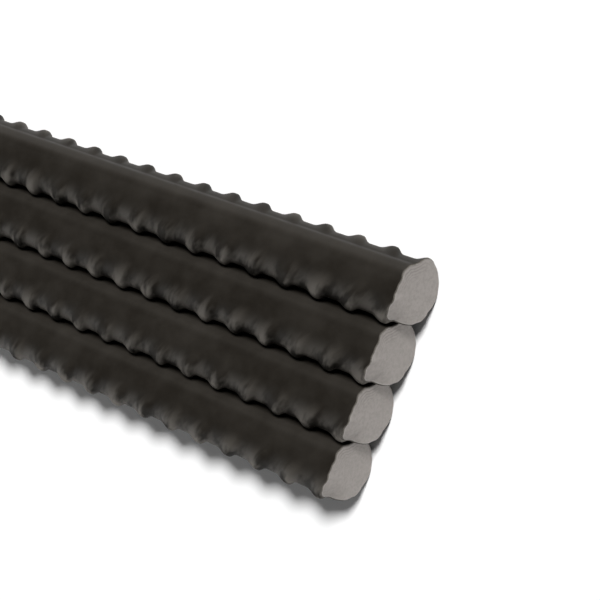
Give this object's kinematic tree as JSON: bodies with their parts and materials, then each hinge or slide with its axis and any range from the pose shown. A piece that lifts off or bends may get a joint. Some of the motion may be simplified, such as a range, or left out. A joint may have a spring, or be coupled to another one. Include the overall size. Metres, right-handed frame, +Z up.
{
  "type": "rebar bundle",
  "caption": "Flat bundle of round deformed steel reinforcing bars lying side by side, with longitudinal ribs and pale flat cut ends; stock for reinforced concrete.",
  "frame": {"origin": "on the floor, under the middle of the bundle's length and width", "axes": "+X along the bars towards the ends that the picture shows, +Y across the bundle towards bar 1, +Z up"},
  "size_m": [1.021, 0.1012, 0.025],
  "materials": {
    "rolled_steel": "dark mill scale as rolled, with pale bare steel on the cut ends"
  },
  "bodies": {
    "root": {"rebar_1": "rolled_steel", "rebar_2": "rolled_steel", "rebar_3": "rolled_steel", "rebar_4": "rolled_steel"}
  },
  "joints": []
}
